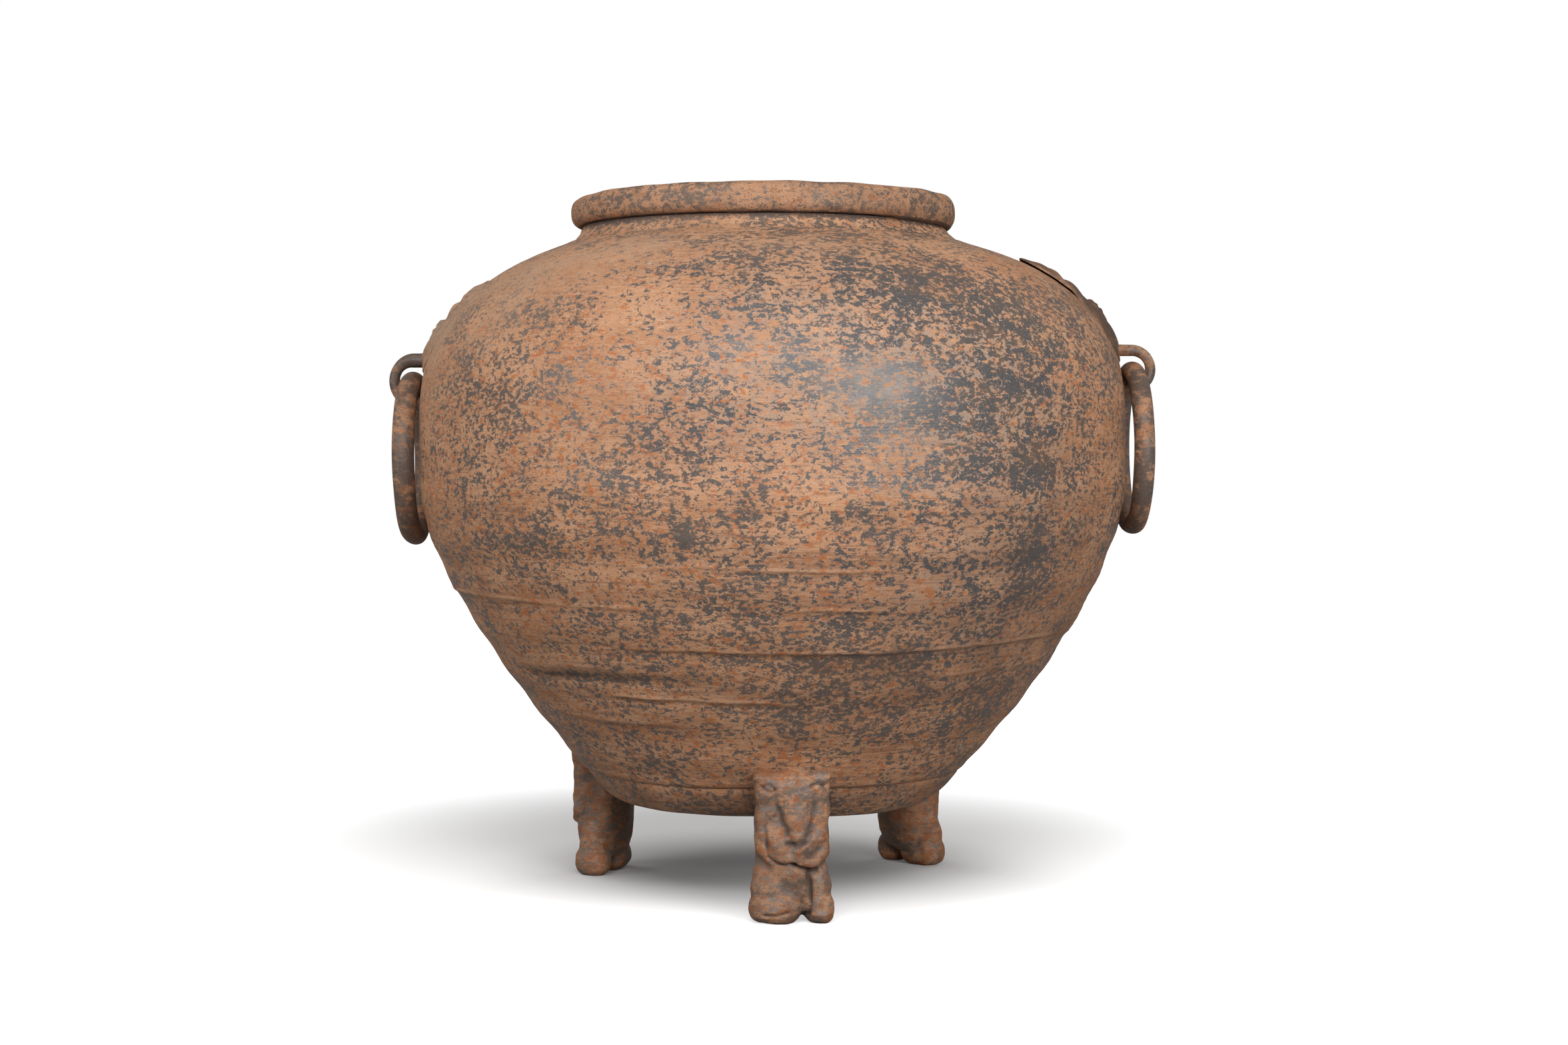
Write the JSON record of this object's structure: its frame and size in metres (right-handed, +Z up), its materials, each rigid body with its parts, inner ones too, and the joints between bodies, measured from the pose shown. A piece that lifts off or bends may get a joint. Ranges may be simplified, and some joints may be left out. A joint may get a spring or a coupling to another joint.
{
  "type": "terracotta jar",
  "caption": "Round-bellied terracotta storage jar with a rolled rim, moulded bear feet, and animal-mask handles on the shoulders with loose hanging rings.",
  "frame": {"origin": "centre of the jar's footprint, on the floor that its feet stand on", "axes": "+Z up along the jar's axis, +X towards the ring handle at the viewer's right, -Y towards the front foot and the viewer"},
  "size_m": [0.574, 0.5246, 0.5143],
  "materials": {
    "body_clay": "unglazed fired clay, dry and matte, mottled with thin slip",
    "foot_clay": "unglazed fired clay, moulded, matte",
    "bar_clay": "hand-rolled fired clay bar, worn to a soft sheen"
  },
  "bodies": {
    "jar": {"base_dish": "body_clay", "lower_wall": "body_clay", "upper_wall": "body_clay", "rim_coil": "body_clay", "foot_front": "foot_clay", "foot_left": "foot_clay", "foot_right": "foot_clay", "mask_left": "body_clay", "mask_right": "body_clay", "loop_left": "bar_clay", "loop_right": "bar_clay"},
    "ring_left": {"ring_left": "bar_clay"},
    "ring_right": {"ring_right": "bar_clay"}
  },
  "joints": [
    {"name": "ring_left_swing", "type": "hinge", "parent": "jar", "child": "ring_left", "pos_m": [-0.26905, 0, 0.3768], "axis": [0, 1, 0], "range_deg": [-1.5, 188]},
    {"name": "ring_right_swing", "type": "hinge", "parent": "jar", "child": "ring_right", "pos_m": [0.26905, 0, 0.385], "axis": [0, -1, 0], "range_deg": [-1.5, 198]}
  ]
}
